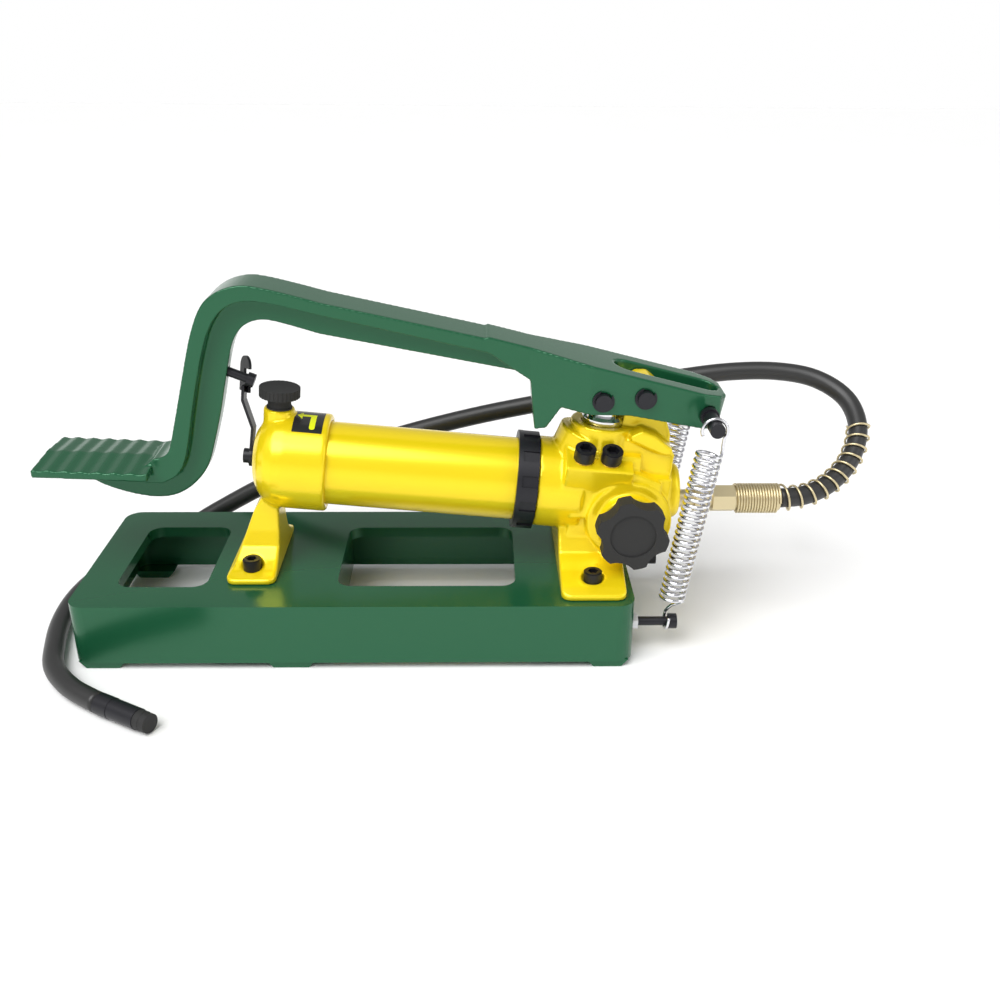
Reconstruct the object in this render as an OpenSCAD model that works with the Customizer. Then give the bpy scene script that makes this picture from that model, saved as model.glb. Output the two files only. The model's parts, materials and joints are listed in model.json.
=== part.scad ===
// Foot-operated hydraulic pump on a cast base, in millimetres, +Z up.
// The frame's origin is on the floor, under the middle of the fixed pieces.
// +X runs along the base from the pedal end to the pump head.

/* [Base] */
// Overall length of the cast base
base_length = 480; // [440:5:520]
// Overall width of the cast base
base_width = 188; // [170:2:210]
// Height of the base's top plate above the floor
base_height = 61; // [50:1:75]
// Thickness of the base's top plate
plate_thickness = 10; // [8:0.5:14]
// Thickness of the base's side walls
wall_thickness = 8; // [6:0.5:12]
// Gap between the side walls and the floor, which is the height of the foot pads
pad_height = 6; // [4:0.5:10]

/* [Pump] */
// Downward pitch of the pump towards its head, in degrees
pump_pitch = 5.3; // [0:0.1:8]
// Outside diameter of the oil tank tube
tank_diameter = 73; // [60:0.5:80]
// Wall thickness of the oil tank tube
tank_wall = 2.5; // [2:0.25:4]
// Outside diameter of the tank's rear cap
cap_diameter = 86; // [78:0.5:92]
// Outside diameter of the clamp ring
ring_diameter = 87; // [84:0.5:95]
// Outside diameter of the round collar on the pump head
collar_diameter = 80; // [78:0.5:90]
// Outside diameter of the plunger
plunger_diameter = 28; // [20:0.5:30]

/* [Lever] */
// Width of the lever arm's flange
arm_width = 44; // [36:1:50]
// Outside width of the lever's two cheeks
cheek_width = 64; // [60:1:70]
// Width of the pedal
pedal_width = 80; // [70:1:90]
// Diameter of the fulcrum pin and the plunger pin
pin_diameter = 14; // [12:0.5:16]

/* [Springs] */
// Outside diameter of a return spring's coil
spring_diameter = 23.5; // [18:0.5:24]
// Wire diameter of a return spring
spring_wire = 3; // [2:0.1:3.2]
// Distance of each return spring from the middle plane
spring_offset = 61; // [58:0.5:64]

/* [Hose] */
// Outside diameter of the hose
hose_diameter = 17.4; // [15:0.1:20]

/* [Hidden] */
$fn = 64;
frame_shift = -53.3;
axis_height = 150.9;
fulcrum = [246, 224];
plunger_pin_at = [210.6, 221.4];
spring_pin_at = [300, 209];
anchor_at = [272, 27];
release_at = [237, 114];
release_face = -70;
filler_u = -69.5;
boss_u = 210;
outlet_z = 118.5;
latch_turn = -10;
valve_u = [193.5, 216.5];
rear_screw = [-92, 40];
front_screw = [205, 64];
body_yellow = [0.96, 0.83, 0.03];
body_green = [0.03, 0.27, 0.13];
black = [0.05, 0.05, 0.055];
steel = [0.62, 0.62, 0.64];
chrome = [0.85, 0.85, 0.87];
gold = [0.75, 0.63, 0.38];

// Hand-chosen points of the hose's centre line, from the ferrule to the free end.
hose_points = [
    [378, 0, 118.5], [402, 3, 120], [427, 13, 128], [449, 31, 144], [461, 56, 165],
    [456, 84, 184], [431, 105, 197], [395, 116, 201], [350, 120, 199], [300, 121, 192],
    [240, 121, 181], [170, 121, 167], [100, 121, 152], [30, 121, 133], [-40, 122, 109],
    [-105, 123, 80], [-160, 121, 50], [-200, 114, 27], [-239, 103, 12.5], [-259, 76, 9.2],
    [-269, 45, 9.2], [-274, 10, 9.2], [-272, -30, 9.2], [-264, -68, 9.2],
    [-252, -104, 9.2], [-228, -134, 9.2], [-198, -156, 9.2]
];
hose_end = [-198, -156, 9.2];
hose_end_turn = -30;

// Helpers

module in_frame() {
    translate([frame_shift, 0, 0])
        children();
}

module in_pump() {
    in_frame()
        translate([0, 0, axis_height])
            rotate([0, pump_pitch, 0])
                children();
}

// A cylinder along +X from x = a to x = b.
module along_x(d, a, b) {
    translate([a, 0, 0])
        rotate([0, 90, 0])
            cylinder(d = d, h = b - a);
}

// A cylinder along +Y from y = a to y = b.
module along_y(d, a, b) {
    translate([0, a, 0])
        rotate([-90, 0, 0])
            cylinder(d = d, h = b - a);
}

// A profile in X and Z, extruded along Y from y = a to y = b.
module side_profile(points, a, b) {
    translate([0, b, 0])
        rotate([90, 0, 0])
            linear_extrude(height = b - a)
                polygon(points);
}

// A rectangle with rounded corners, centred on the origin.
module rounded_plan(size, radius, height) {
    cube([size[0] - 2 * radius, size[1], height], center = true);
    cube([size[0], size[1] - 2 * radius, height], center = true);
    for (sx = [-1, 1])
        for (sy = [-1, 1])
            translate([sx * (size[0] / 2 - radius), sy * (size[1] / 2 - radius), 0])
                cylinder(r = radius, h = height, center = true);
}

// A socket head screw standing on z = 0 with its shank downwards.
module socket_screw(d, head_d, head_h, shank, socket) {
    difference() {
        union() {
            cylinder(d = head_d, h = head_h - 0.8);
            cylinder(d = head_d - 1.6, h = head_h);
            translate([0, 0, -shank])
                cylinder(d = d, h = shank + 1);
        }
        translate([0, 0, head_h - socket * 0.6])
            cylinder(d = socket / cos(30), h = head_h, $fn = 6);
    }
}

// A point on a smooth curve through four points.
function smooth(p, q, r, s, t) =
    0.5 * ((2 * q) + (r - p) * t + (2 * p - 5 * q + 4 * r - s) * t * t
    + (3 * q - p - 3 * r + s) * t * t * t);

function curve_at(points, i, t) =
    let (n = len(points))
    smooth(points[max(i - 1, 0)], points[i], points[min(i + 1, n - 1)],
        points[min(i + 2, n - 1)], t);

function curve(points, steps) =
    concat([for (i = [0:len(points) - 2]) for (k = [0:steps - 1])
        curve_at(points, i, k / steps)], [points[len(points) - 1]]);

function unit(v) = v / norm(v);

// A closed tube of round section swept along a list of points.
module sweep(path, r, sides) {
    n = len(path);
    up = [0.02, 0.01, 1];
    tangents = [for (i = [0:n - 1])
        unit(path[min(i + 1, n - 1)] - path[max(i - 1, 0)])];
    rings = [for (i = [0:n - 1])
        let (side = unit(cross(tangents[i], up)))
        let (over = cross(side, tangents[i]))
        for (k = [0:sides - 1])
            path[i] + r * cos(360 * k / sides) * side + r * sin(360 * k / sides) * over];
    walls = [for (i = [0:n - 2]) for (k = [0:sides - 1])
        let (a = i * sides + k)
        let (b = i * sides + (k + 1) % sides)
        [a, b, b + sides, a + sides]];
    start = [for (k = [0:sides - 1]) sides - 1 - k];
    finish = [for (k = [0:sides - 1]) (n - 1) * sides + k];
    polyhedron(points = rings, faces = concat(walls, [start], [finish]), convexity = 20);
}

// An extension spring along z, centred on the origin. Its upper hook hangs on a pin along y,
// and its lower ring goes round a screw along x.
module extension_spring(body, reach, turns) {
    r = (spring_diameter - spring_wire) / 2;
    hook = 10.5;
    ring = 8.5;
    hook_z = reach / 2 - 3.1;
    ring_z = -reach / 2 + 2.6;
    coil = [for (i = [0:turns * 8])
        [r * cos(45 * i), r * sin(45 * i), -body / 2 + body * i / (turns * 8)]];
    up = concat([[r * 0.99, 0, body / 2 + 4]],
        [for (t = [-30:20:210]) [hook * cos(t), 0, hook_z + hook * sin(t)]]);
    down = concat([for (t = [210:-30:-30]) [0, ring * cos(t), ring_z - ring * sin(t)]],
        [[3.2, 5.5, -body / 2 - 8], [r * 0.85, 3, -body / 2 - 3.5]]);
    sweep(concat(down, coil, up), spring_wire / 2, 6);
}

// Base

module pad_row(x, w) {
    for (s = [-1, 1])
        in_frame()
            translate([x, s * (base_width / 2 - 13), 0])
                side_profile([[-w / 2 + 6, 0], [w / 2 - 6, 0], [w / 2, pad_height + 1],
                    [-w / 2, pad_height + 1]], -11, 11);
}

module base_frame() {
    color(body_green)
        difference() {
            union() {
                in_frame()
                    translate([0, 0, (base_height + pad_height) / 2])
                        difference() {
                            rounded_plan([base_length, base_width], 15,
                                base_height - pad_height);
                            translate([0, 0, -plate_thickness])
                                rounded_plan([base_length - 2 * wall_thickness,
                                    base_width - 2 * wall_thickness], 10,
                                    base_height - pad_height);
                        }
                pad_row(-base_length / 2 + 24, 40);
                pad_row(-55, 42);
                pad_row(base_length / 2 - 22, 36);
                in_frame()
                    for (x = [-124, -22, 148])
                        translate([x, 0, base_height / 2])
                            cube([6, base_width - 10, base_height - 16], center = true);
                in_frame()
                    for (s = [-1, 1])
                        translate([base_length / 2 - 16, s * spring_offset, anchor_at[1]])
                            along_x(20, 0, 10);
            }
            in_frame()
                translate([-169, 0, base_height])
                    rounded_plan([78, 118], 13, 80);
            in_frame()
                translate([61, 0, base_height])
                    rounded_plan([156, 116], 13, 80);
            in_frame()
                for (s = [-1, 1]) {
                    translate([rear_screw[0], s * rear_screw[1], base_height - 20])
                        cylinder(d = 10.6, h = 40);
                    translate([front_screw[0], s * front_screw[1], base_height - 20])
                        cylinder(d = 10.6, h = 40);
                    translate([0, s * spring_offset, anchor_at[1]])
                        along_x(8.1, base_length / 2 - 30, base_length / 2 + 10);
                }
        }
}

// Tank

module tank_tube() {
    color(body_yellow)
        in_pump()
            difference() {
                along_x(tank_diameter, -33.5, 166);
                along_x(tank_diameter - 2 * tank_wall, -35, 167);
            }
}

// A polygon's left half and its mirror image.
function both_sides(p) =
    concat(p, [for (i = [len(p) - 1:-1:0]) [-p[i][0], p[i][1]]]);

// A cast foot: its section across the pump, trimmed by its outline from the side.
module foot(x, width, half, section, outline, screw) {
    in_frame()
        difference() {
            intersection() {
                translate([x - width / 2, 0, 0])
                    rotate([90, 0, 90])
                        linear_extrude(height = width)
                            polygon(both_sides(section));
                translate([x, 0, base_height])
                    rounded_plan([width, 2 * half], 8, 300);
                side_profile(outline, -half - 1, half + 1);
            }
            for (s = [-1, 1])
                translate([screw[0], s * screw[1], base_height - 1]) {
                    cylinder(d = 11, h = 60);
                    translate([0, 0, 9])
                        cylinder(d = 18.6, h = 60);
                }
        }
}

module tank_end_cap() {
    color(body_yellow)
        difference() {
            union() {
                in_pump()
                    rotate([0, 90, 0])
                        rotate_extrude()
                            polygon([[0, -90.5], [12, -90.5], [24, -88.2], [33, -83.2],
                                [39, -76.8], [42, -70], [cap_diameter / 2, -62],
                                [cap_diameter / 2, -26], [cap_diameter / 2 - 1.5, -24.5],
                                [0, -24.5]]);
                in_pump()
                    translate([filler_u, 0, 20])
                        cylinder(d = 27, h = 27.5);
                foot(-91.5, 43, 57, [[-57, 61], [-57, 66], [-45, 69], [-34, 75], [-25, 83],
                    [-20, 96], [-17, 112], [-16, 128]], [[-113, 61], [-70, 61], [-70, 128],
                    [-83, 128], [-92, 113], [-109, 70], [-113, 67]], rear_screw);
            }
            in_frame()
                translate([-92, 0, base_height])
                    rounded_plan([28, 30], 6, 44);
            in_pump() {
                along_x(tank_diameter + 0.1, -35.5, -10);
                along_x(tank_diameter - 9, -81.5, -10);
                along_x(10.2, -100, -60);
                translate([filler_u, 0, 10])
                    cylinder(d = 15.4, h = 60);
            }
        }
}

module tank_seals() {
    color(black)
        in_pump()
            for (u = [-35, 166.5])
                translate([u, 0, 0])
                    rotate([0, 90, 0])
                        rotate_extrude()
                            translate([tank_diameter / 2 - 1.4, 0])
                                circle(d = 0.9, $fn = 24);
}

module clamp_ring() {
    color(black)
        in_pump()
            difference() {
                along_x(ring_diameter, 139, 157);
                along_x(tank_diameter + 0.06, 130, 170);
                for (a = [0:30:330])
                    rotate([a + 10, 0, 0])
                        translate([143, -5, ring_diameter / 2 - 1.6])
                            cube([14.5, 10, 5]);
                translate([148, 0, -ring_diameter / 2])
                    cube([30, 3, 16], center = true);
            }
}

module tie_bolt() {
    color(black)
        in_pump() {
            along_x(18, -91.5, -90.5);
            along_x(13, -99.5, -94.4);
            along_x(10, -97, 178);
        }
}

module suction_tube() {
    color(steel)
        in_pump()
            translate([0, 0, -24])
                difference() {
                    along_x(10, 96, 178);
                    along_x(7, 90, 176);
                }
}

module suction_filter() {
    color(gold)
        in_pump()
            translate([0, 0, -24])
                difference() {
                    along_x(17, 82, 110);
                    along_x(10, 96, 120);
                    along_x(14, 84, 94);
                }
}

// Pump head

module pump_head() {
    color(body_yellow)
        difference() {
            union() {
                in_pump() {
                    along_x(collar_diameter, 157.4, 196);
                    difference() {
                        translate([188, -31, -42])
                            cube([85, 62, 84]);
                        for (s = [-1, 1])
                            translate([262, s * 34, 42])
                                cube([36, 26, 36], center = true);
                    }
                    translate([boss_u, 0, 0])
                        cylinder(d = 56, h = 62);
                    translate([188, 0, 12])
                        rotate([0, 18, 0])
                            cylinder(d = 54, h = 40);
                    side_profile([[226, 30], [273, 8], [273, 44], [252, 58], [226, 52]],
                        -22, 22);
                    translate([valve_u[0] + 9, -20, 30])
                        rotate([20, 0, 0])
                            translate([-24, -24, -12])
                                cube([58, 28, 24]);
                }
                in_frame() {
                    side_profile([[226, 190], [226, 170], [272, 160], [273, 184], [269, 196],
                        [262, 214], [258, 231], [251, 236.5], [241, 236.5], [234, 231],
                        [232, 216]], -12, 12);
                    side_profile([[186, 116], [262, 116], [264, 148], [242, 158], [186, 156]],
                        -38, 0);
                    side_profile([[236, 188], [236, 184], [262, 172], [273, 170], [273, 176],
                        [258, 188], [246, 193]], -28, 28);
                    translate([0, 0, 127])
                        rotate([0, 90, 0]) {
                            translate([0, 0, 236])
                                cylinder(d = 50, h = 44);
                            translate([0, 0, 280])
                                cylinder(d1 = 50, d2 = 44, h = 4);
                        }
                    translate([release_at[0], 0, release_at[1]]) {
                        along_y(54, release_face + 19, 0);
                        along_y(74, -42, 0);
                    }
                }
                foot(205, 56, 86, [[-86, 61], [-86, 66], [-76, 70], [-56, 75], [-38, 83],
                    [-29, 98], [-24, 112]], [[177, 61], [233, 61], [233, 112], [177, 112]],
                    front_screw);
            }
            in_frame()
                translate([205, 0, base_height])
                    rounded_plan([40, 56], 8, 44);
            in_pump() {
                along_x(tank_diameter + 0.1, 150, 168);
                along_x(50, 160, 176);
                along_x(10.2, 170, 179);
                translate([boss_u, 0, -8])
                    cylinder(d = plunger_diameter + 0.1, h = 90);
                translate([boss_u, 0, 46])
                    cylinder(d = 37.5, h = 40);
                translate([0, 0, -24])
                    along_x(10.6, 160, 185);
                for (u = valve_u)
                    translate([u, -20, 30])
                        rotate([20, 0, 0]) {
                            translate([0, -11, -20])
                                cylinder(d = 9, h = 60);
                            translate([0, -11, -6])
                                cylinder(d = 12.1, h = 60);
                            translate([0, -11, 12])
                                cylinder(d = 19.2, h = 40);
                        }
            }
            in_frame() {
                translate([0, 0, outlet_z])
                    along_x(16.1, 272, 320);
                translate([release_at[0], 0, release_at[1]]) {
                    along_y(12.1, -90, -20);
                    along_y(5, -90, -4);
                }
                translate([fulcrum[0], 0, fulcrum[1]])
                    along_y(pin_diameter + 0.1, -40, 40);
            }
        }
}

module gland_ring() {
    color(chrome)
        in_pump()
            translate([boss_u, 0, 46.3])
                difference() {
                    union() {
                        cylinder(d = 37.4, h = 19.7);
                        translate([0, 0, 19.7])
                            cylinder(d1 = 37.4, d2 = 34, h = 2.9);
                    }
                    translate([0, 0, -1])
                        cylinder(d = plunger_diameter + 0.1, h = 30);
                    translate([0, 0, 3])
                        cylinder(d = plunger_diameter + 2.6, h = 3);
                }
}

module gland_seal() {
    color(black)
        in_pump()
            translate([boss_u, 0, 49.4])
                difference() {
                    cylinder(d = plunger_diameter + 2.5, h = 2.8);
                    translate([0, 0, -1])
                        cylinder(d = plunger_diameter + 0.12, h = 5);
                }
}

module plug_place(u, lift) {
    in_pump()
        translate([u, -20, 30])
            rotate([20, 0, 0])
                translate([0, -11, 12 + lift])
                    children();
}

module valve_plugs() {
    color(black)
        for (u = valve_u)
            plug_place(u, 1.6)
                socket_screw(12, 18, 11.4, 13, 10);
}

module plug_seals() {
    color(gold)
        for (u = valve_u)
            plug_place(u, 0)
                difference() {
                    cylinder(d = 16.5, h = 1.5);
                    translate([0, 0, -1])
                        cylinder(d = 12.1, h = 4);
                }
}

module valve_ball(u) {
    color(chrome)
        plug_place(u, -27.8)
            sphere(d = 8);
}

module intake_ball() {
    valve_ball(valve_u[0]);
}

module delivery_ball() {
    valve_ball(valve_u[1]);
}

module valve_spring(u) {
    color(steel)
        plug_place(u, 0) {
            path = [for (i = [0:60])
                [2.3 * cos(30 * i), 2.3 * sin(30 * i), -23.2 + 10.8 * i / 60]];
            sweep(path, 0.4, 6);
        }
}

module intake_spring() {
    valve_spring(valve_u[0]);
}

module delivery_spring() {
    valve_spring(valve_u[1]);
}

// Screws and anchors

module foot_screws() {
    color(black)
        in_frame()
            for (p = [rear_screw, front_screw])
                for (s = [-1, 1])
                    translate([p[0], s * p[1], base_height + 8])
                        socket_screw(10, 16, 10, 30, 8);
}

module foot_nuts() {
    color(steel)
        in_frame()
            for (p = [rear_screw, front_screw])
                for (s = [-1, 1])
                    translate([p[0], s * p[1], base_height - plate_thickness - 8.2])
                        difference() {
                            cylinder(d = 17 / cos(30), h = 8, $fn = 6);
                            translate([0, 0, -1])
                                cylinder(d = 10.02, h = 12);
                        }
}

module anchor_screws() {
    color(black)
        in_frame()
            for (s = [-1, 1])
                translate([0, s * spring_offset, anchor_at[1]])
                    difference() {
                        union() {
                            along_x(8, base_length / 2 - 14, anchor_at[0] + 3);
                            along_x(13.5, anchor_at[0] + 2, anchor_at[0] + 9);
                        }
                        translate([anchor_at[0] + 5, 0, 0])
                            rotate([0, 90, 0])
                                cylinder(d = 6.9, h = 10, $fn = 6);
                    }
}

module anchor_nuts() {
    color(steel)
        in_frame()
            for (s = [-1, 1])
                translate([base_length / 2 + 0.1, s * spring_offset, anchor_at[1]])
                    rotate([0, 90, 0])
                        difference() {
                            cylinder(d = 13 / cos(30), h = 6.5, $fn = 6);
                            translate([0, 0, -1])
                                cylinder(d = 8.02, h = 10);
                        }
}

// Outlet and hose

module outlet_fitting() {
    color(gold)
        in_frame()
            translate([0, 0, outlet_z]) {
                along_x(16, 280, 301);
                rotate([0, 90, 0])
                    translate([0, 0, 300])
                        cylinder(d = 22 / cos(30), h = 12, $fn = 6);
                along_x(17, 311, 316);
            }
}

module hose_ferrule() {
    color(gold)
        in_frame()
            translate([0, 0, outlet_z]) {
                rotate([0, 90, 0])
                    translate([0, 0, 316])
                        cylinder(d = 22 / cos(30), h = 20, $fn = 6);
                along_x(22, 335, 377);
            }
}

module guard_spring() {
    color(gold)
        in_frame() {
            r = 12.5;
            tight = [for (i = [0:15 * 12])
                [337.5 + 38 * i / 180, r * cos(30 * i), outlet_z + r * sin(30 * i)]];
            sweep(tight, 1.2, 6);
        }
}

module hose() {
    color(black)
        in_frame()
            sweep(curve(hose_points, 3), hose_diameter / 2, 12);
}

module at_hose_end() {
    in_frame()
        translate(hose_end)
            rotate([0, 0, hose_end_turn])
                children();
}

module coupler_body() {
    color(black)
        at_hose_end()
            difference() {
                union() {
                    along_x(18, 1.2, 16);
                    along_x(17.4, 16, 44);
                }
                along_x(9, 20, 50);
            }
}

module coupler_cap() {
    color(black)
        at_hose_end()
            difference() {
                union() {
                    along_x(16.4, 44.1, 50);
                    along_x(16, 50, 56);
                }
                along_x(8, 44, 50);
            }
}

// Small trim

module direction_label() {
    color(black)
        in_pump()
            rotate([0, 90, 0])
                translate([0, 0, -55.4])
                    rotate([0, 0, 168])
                        rotate_extrude(angle = 46)
                            translate([cap_diameter / 2 + 0.02, 0])
                                square([0.25, 25.4]);
}

module hook_plate() {
    difference() {
        union() {
            translate([0, 0, 11])
                cube([2.4, 18, 22], center = true);
            translate([0, 0, 22])
                along_x(18, -1.2, 1.2);
        }
        translate([0, -5, 15.7])
            cube([6, 12, 9.4], center = true);
    }
}

module latch_hook() {
    color(black)
        in_pump()
            rotate([latch_turn, 0, 0])
                difference() {
                    union() {
                        along_x(18, -94.2, -91.8);
                        side_profile([[-94.2, 0], [-91.8, 0], [-91.8, 14], [-91, 26],
                            [-100.4, 50], [-100.4, 62], [-102.8, 62], [-102.8, 49.5],
                            [-93.4, 26]], -7, 7);
                        translate([-101.6, 4, 56])
                            rotate([0, 0, 35])
                                hook_plate();
                    }
                    along_x(10.1, -110, -80);
                }
}

// Filler cap

module filler_seal() {
    color(black)
        in_pump()
            translate([filler_u, 0, 47.55])
                difference() {
                    cylinder(d = 22, h = 1.4);
                    translate([0, 0, -1])
                        cylinder(d = 15.3, h = 4);
                }
}

module filler_cap() {
    color(black)
        in_pump()
            translate([filler_u, 0, 0]) {
                translate([0, 0, 33])
                    cylinder(d = 15.2, h = 20);
                translate([0, 0, 49])
                    cylinder(d = 20, h = 11);
                difference() {
                    translate([0, 0, 58])
                        cylinder(d = 35, h = 8);
                    for (a = [0:12:348])
                        rotate([0, 0, a])
                            translate([17.9, 0, 57])
                                cylinder(d = 1.8, h = 12, $fn = 12);
                }
            }
}

// Release valve

module at_release() {
    in_frame()
        translate([release_at[0], 0, release_at[1]])
            children();
}

module release_seal() {
    color(black)
        at_release()
            difference() {
                along_y(12, release_face + 23, release_face + 25);
                along_y(8.1, -80, 0);
            }
}

module release_stem() {
    color(steel)
        at_release() {
            along_y(8, release_face + 8, -22.7);
            rotate([-90, 0, 0])
                translate([0, 0, -22.8])
                    cylinder(d1 = 8, d2 = 0.5, h = 5);
        }
}

module release_knob() {
    color(black)
        at_release()
            difference() {
                along_y(62.5, release_face, release_face + 16);
                for (a = [0:60:300])
                    rotate([0, a - 14, 0])
                        translate([45.6, 0, 0])
                            along_y(38.6, release_face - 1, release_face + 20);
                along_y(39, release_face - 1, release_face + 1.6);
                along_y(8.02, release_face + 8, release_face + 20);
            }
}

// Plunger

module plunger() {
    color(chrome)
        difference() {
            union() {
                in_pump()
                    translate([boss_u, 0, -4])
                        cylinder(d = plunger_diameter, h = 76);
                in_pump()
                    translate([188.6, -9, 70])
                        cube([30, 18, 28]);
            }
            in_pump()
                for (x = [-1.6, 0, 1.6])
                    translate([203.6 + x, 0, 89.65])
                        along_y(pin_diameter + 0.8, -30, 30);
        }
}

module plunger_ring() {
    color(steel)
        in_pump()
            translate([boss_u, 0, -7.4])
                cylinder(d = plunger_diameter - 4, h = 3.3);
}

// Lever

module lever() {
    under = curve([[-240, 149], [-227, 138], [-210, 130.5], [-192, 125.5], [-174, 123.5],
        [-157, 127], [-141, 138], [-129, 154], [-121, 177], [-113, 205], [-106, 235],
        [-101, 255], [-96, 268], [-88, 278], [-76, 283], [-61, 282], [-25, 271.5]], 3);
    inside = curve([[-165, 143], [-154, 149], [-146.5, 160], [-141, 177], [-134, 208],
        [-127, 236], [-120, 261], [-113, 279], [-104, 292], [-93, 299.5], [-79, 302],
        [-57, 299], [-22, 290.5]], 3);
    outside = curve([[-21, 301], [-45, 307.5], [-68, 313], [-83, 315], [-96, 313],
        [-107, 308], [-116.5, 300], [-124, 287], [-131, 268], [-137, 247], [-146, 214],
        [-155.5, 180], [-159, 171], [-165, 166.5], [-172, 165]], 3);
    web = concat(under, [[150, 238], [150, 260], [-21, 297], [-82, 311], [-104, 304],
        [-117, 291], [-130, 262], [-139, 230], [-150, 190], [-158, 165], [-170, 158],
        [-240, 158]]);
    flange = concat([[-183, 143]], inside, [[150, 251.5], [150, 264]], outside,
        [[-177, 161], [-183, 157]]);
    tread = concat([for (i = [0:28]) [i * 3.46, 0.5 + 0.8 * cos(i * 90)]],
        [[96.9, -6.5], [0, -6.5]]);
    cheek = [[110, 263], [114, 273.4], [317, 222], [309, 198], [300, 196], [236, 208],
        [222, 209], [200, 209], [190, 211], [176, 214], [164, 195], [154, 193], [150, 236]];
    color(body_green)
        difference() {
            union() {
                in_frame()
                    side_profile(web, -8, 8);
                in_frame()
                    side_profile(flange, -arm_width / 2, arm_width / 2);
                in_frame()
                    intersection() {
                        side_profile(cheek, -cheek_width / 2, cheek_width / 2);
                        linear_extrude(height = 400)
                            polygon([[108, -22], [150, -22], [200, -32], [296, -32],
                                [310, -26], [318, -14], [318, 14], [310, 26], [296, 32],
                                [200, 32], [150, 22], [108, 22]]);
                    }
                in_frame()
                    translate([-270, 0, 164.3])
                        rotate([0, 2.4, 0])
                            for (s = [-1, 1])
                                rotate([-4 * s, 0, 0])
                                    side_profile(tread, min(0, s * pedal_width / 2),
                                        max(0, s * pedal_width / 2));
            }
            in_frame() {
                side_profile([[168, 180], [184, 225], [184, 245], [305, 214], [305, 180],
                    [220, 170]], -16, 16);
                difference() {
                    translate([267, 0, 230])
                        rounded_plan([90, 28], 13.9, 120);
                    translate([0, -50, 0])
                        cube([150, 100, 400]);
                }
                translate([plunger_pin_at[0], 0, plunger_pin_at[1]])
                    along_y(pin_diameter + 0.04, -50, 50);
                translate([fulcrum[0], 0, fulcrum[1]])
                    along_y(pin_diameter + 0.04, -50, 50);
                translate([spring_pin_at[0], 0, spring_pin_at[1]])
                    along_y(pin_diameter + 0.04, -50, 50);
                translate([-117, 0, 241.4])
                    rotate([0, 22, 0])
                        along_x(8.04, -12, 40);
            }
        }
}

module lever_pin(at, half, d) {
    color(black)
        in_frame()
            translate([at[0], 0, at[1]])
                along_y(d, -half, half);
}

module fulcrum_pin() {
    lever_pin(fulcrum, 38, pin_diameter);
}

module plunger_pin() {
    lever_pin(plunger_pin_at, 38, pin_diameter);
}

module spring_pin() {
    color(black)
        in_frame()
            translate([spring_pin_at[0], 0, spring_pin_at[1]])
                difference() {
                    union() {
                        along_y(pin_diameter, -36, 36);
                        along_y(12.5, -70, 70);
                        for (s = [-1, 1])
                            translate([0, s * 35.5, 0])
                                along_y(16, -2.5, 2.5);
                    }
                    for (s = [-1, 1])
                        translate([0, s * spring_offset, 0])
                            difference() {
                                along_y(30, -2, 2);
                                along_y(11.6, -3, 3);
                            }
                }
}

module pin_clips() {
    color(black)
        in_frame()
            for (p = [fulcrum, plunger_pin_at])
                for (s = [-1, 1])
                    translate([p[0], s * (cheek_width / 2 + 1.1) - 0.6, p[1]])
                        difference() {
                            along_y(18.5, 0, 1.2);
                            along_y(pin_diameter, -1, 3);
                            rotate([0, 20 - 90, 0])
                                translate([0, 0, -5])
                                    cube([20, 8, 10]);
                        }
}

module latch_stud() {
    color(black)
        in_frame()
            translate([-117, 0, 241.4])
                rotate([0, 22, 0]) {
                    along_x(8, -10, 35.5);
                    along_x(12, 29, 35.5);
                }
}

module return_spring(side) {
    dx = spring_pin_at[0] - anchor_at[0];
    dz = spring_pin_at[1] - anchor_at[1];
    long = sqrt(dx * dx + dz * dz);
    color(chrome)
        in_frame()
            translate([(spring_pin_at[0] + anchor_at[0]) / 2, side * spring_offset,
                (spring_pin_at[1] + anchor_at[1]) / 2])
                rotate([0, atan2(dx, dz), 0])
                    extension_spring(141, long, 25);
}

module return_spring_front() {
    return_spring(-1);
}

module return_spring_back() {
    return_spring(1);
}

base_frame();
tank_tube();
tank_end_cap();
clamp_ring();
pump_head();
tie_bolt();
tank_seals();
gland_ring();
gland_seal();
suction_tube();
suction_filter();
valve_plugs();
plug_seals();
intake_ball();
delivery_ball();
intake_spring();
delivery_spring();
foot_screws();
foot_nuts();
anchor_screws();
anchor_nuts();
outlet_fitting();
hose_ferrule();
guard_spring();
hose();
coupler_body();
coupler_cap();
direction_label();
latch_hook();
filler_seal();
filler_cap();
release_seal();
release_stem();
release_knob();
plunger();
plunger_ring();
lever();
fulcrum_pin();
plunger_pin();
spring_pin();
pin_clips();
latch_stud();
return_spring_front();
return_spring_back();
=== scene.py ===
"""Foot-operated hydraulic pump: the visible pieces, their finishes and the stage, in metres."""

import json
import math

import bmesh
import bpy
from mathutils import Matrix, Vector


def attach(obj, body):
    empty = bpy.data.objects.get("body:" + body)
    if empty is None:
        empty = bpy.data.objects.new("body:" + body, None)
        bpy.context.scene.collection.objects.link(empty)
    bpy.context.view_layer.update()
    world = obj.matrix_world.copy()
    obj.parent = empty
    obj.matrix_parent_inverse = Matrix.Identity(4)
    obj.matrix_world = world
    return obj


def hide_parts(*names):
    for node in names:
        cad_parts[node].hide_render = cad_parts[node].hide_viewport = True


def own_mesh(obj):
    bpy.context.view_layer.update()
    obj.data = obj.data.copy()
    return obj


bl_info = {
    "name": "Hydraulic foot pump",
    "version": (1, 0, 0),
    "blender": (4, 5, 0),
    "location": "View3D > Sidebar > Foot Pump",
    "description": "Builds a foot-operated hydraulic pump piece by piece round its packed frame",
    "category": "Object",
}

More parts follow.
